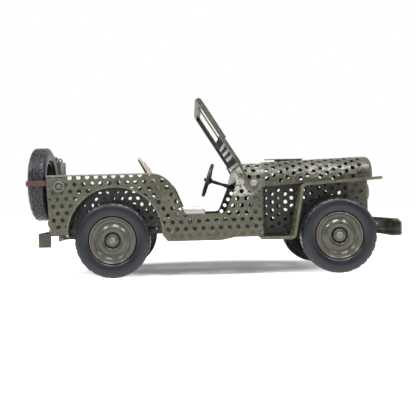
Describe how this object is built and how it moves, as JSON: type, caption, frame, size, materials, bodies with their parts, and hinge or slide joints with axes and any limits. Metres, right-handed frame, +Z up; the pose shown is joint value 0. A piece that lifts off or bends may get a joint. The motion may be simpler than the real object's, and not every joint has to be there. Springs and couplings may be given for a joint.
{
  "type": "model of an open army 4x4 car",
  "caption": "Small model of an open army 4x4 car in perforated sheet steel, with rolling and steering wheels and a folding windscreen.",
  "frame": {"origin": "on the floor, under the middle of the overall length and width", "axes": "+X forward, +Y to the car's left, +Z up"},
  "size_m": [0.336, 0.151, 0.1611],
  "materials": {
    "olive_paint": "satin olive paint, hand worn at the edges",
    "tyre_rubber": "dark blue-grey, slightly glossy",
    "rim_paint": "satin olive paint",
    "dark_steel": "near-black paint",
    "bare_steel": "bare grey steel",
    "tan_pad": "thin tan padding",
    "beige_cushion": "pale beige cloth",
    "strap": "reddish brown strap",
    "lamp_red": "red lamp",
    "lamp_face": "lamp face"
  },
  "bodies": {
    "body": {"cowl": "olive_paint", "crossmembers": "olive_paint", "dash": "olive_paint", "engine_sides": "olive_paint", "fender_left": "olive_paint", "fender_right": "olive_paint", "firewall": "olive_paint", "floor": "olive_paint", "frame_rail_left": "olive_paint", "frame_rail_right": "olive_paint", "front_axle": "dark_steel", "front_bumper": "olive_paint", "front_springs": "dark_steel", "fuel_can": "olive_paint", "fuel_can_tray": "olive_paint", "grille": "olive_paint", "headlamps": "lamp_face", "hood": "olive_paint", "hood_strip": "olive_paint", "rear_axle": "dark_steel", "rear_bumperette_left": "olive_paint", "rear_bumperette_right": "olive_paint", "rear_panel": "olive_paint", "rear_springs": "dark_steel", "seat_back_left": "tan_pad", "seat_back_right": "tan_pad", "seat_cushion_left": "beige_cushion", "seat_cushion_right": "beige_cushion", "seat_frames": "olive_paint", "side_bosses": "olive_paint", "spare_carrier": "olive_paint", "spare_rim": "rim_paint", "spare_strap": "strap", "spare_tyre": "tyre_rubber", "spring_pins": "bare_steel", "steering_column": "dark_steel", "tail_lamps": "lamp_red", "tub_side_left": "olive_paint", "tub_side_right": "olive_paint", "wheelhouse_left": "olive_paint", "wheelhouse_right": "olive_paint", "windscreen_bolts": "olive_paint"},
    "front_wheel_right": {"front_rim_right": "rim_paint", "front_tyre_right": "tyre_rubber"},
    "front_wheel_left": {"front_rim_left": "rim_paint", "front_tyre_left": "tyre_rubber"},
    "rear_wheel_right": {"rear_rim_right": "rim_paint", "rear_tyre_right": "tyre_rubber"},
    "rear_wheel_left": {"rear_rim_left": "rim_paint", "rear_tyre_left": "tyre_rubber"},
    "knuckle_right": {"knuckle_right": "dark_steel"},
    "knuckle_left": {"knuckle_left": "dark_steel"},
    "tie_rod": {"tie_rod": "dark_steel"},
    "steering_wheel": {"steering_wheel": "dark_steel"},
    "windscreen": {"windscreen_frame": "olive_paint", "windscreen_panel": "olive_paint", "windscreen_panes": "olive_paint", "wiper": "dark_steel", "windscreen_arms": "olive_paint"}
  },
  "joints": [
    {"name": "front_wheel_right_roll", "type": "hinge", "parent": "knuckle_right", "child": "front_wheel_right", "pos_m": [0.11145, -0.062, 0.0339], "axis": [0, 1, 0], "continuous": true},
    {"name": "front_wheel_left_roll", "type": "hinge", "parent": "knuckle_left", "child": "front_wheel_left", "pos_m": [0.11145, 0.062, 0.0339], "axis": [0, 1, 0], "continuous": true},
    {"name": "rear_wheel_right_roll", "type": "hinge", "parent": "body", "child": "rear_wheel_right", "pos_m": [-0.09175, -0.062, 0.0339], "axis": [0, 1, 0], "continuous": true},
    {"name": "rear_wheel_left_roll", "type": "hinge", "parent": "body", "child": "rear_wheel_left", "pos_m": [-0.09175, 0.062, 0.0339], "axis": [0, 1, 0], "continuous": true},
    {"name": "steer_right", "type": "hinge", "parent": "body", "child": "knuckle_right", "pos_m": [0.11145, -0.048, 0.0339], "axis": [0, 0, 1], "range_deg": [-15, 15]},
    {"name": "steer_left", "type": "hinge", "parent": "body", "child": "knuckle_left", "pos_m": [0.11145, 0.048, 0.0339], "axis": [0, 0, 1], "range_deg": [-15, 15]},
    {"name": "tie_rod_slide", "type": "slide", "parent": "body", "child": "tie_rod", "axis": [0, 1, 0], "range_m": [-0.0038, 0.0038]},
    {"name": "steering_wheel_turn", "type": "hinge", "parent": "body", "child": "steering_wheel", "pos_m": [-0.00235, 0.035, 0.0892], "axis": [0.9511, 0, -0.309], "range_deg": [-120, 120]},
    {"name": "windscreen_fold", "type": "hinge", "parent": "body", "child": "windscreen", "pos_m": [0.03515, 0, 0.0823], "axis": [0, 1, 0], "range_deg": [0, 40]}
  ],
  "couplings": [
    {"joint": "steer_left", "follows": "steer_right", "ratio": 1},
    {"joint": "tie_rod_slide", "follows": "steer_right", "m_per_rad": -0.014},
    {"joint": "steering_wheel_turn", "follows": "steer_right", "ratio": -8}
  ]
}
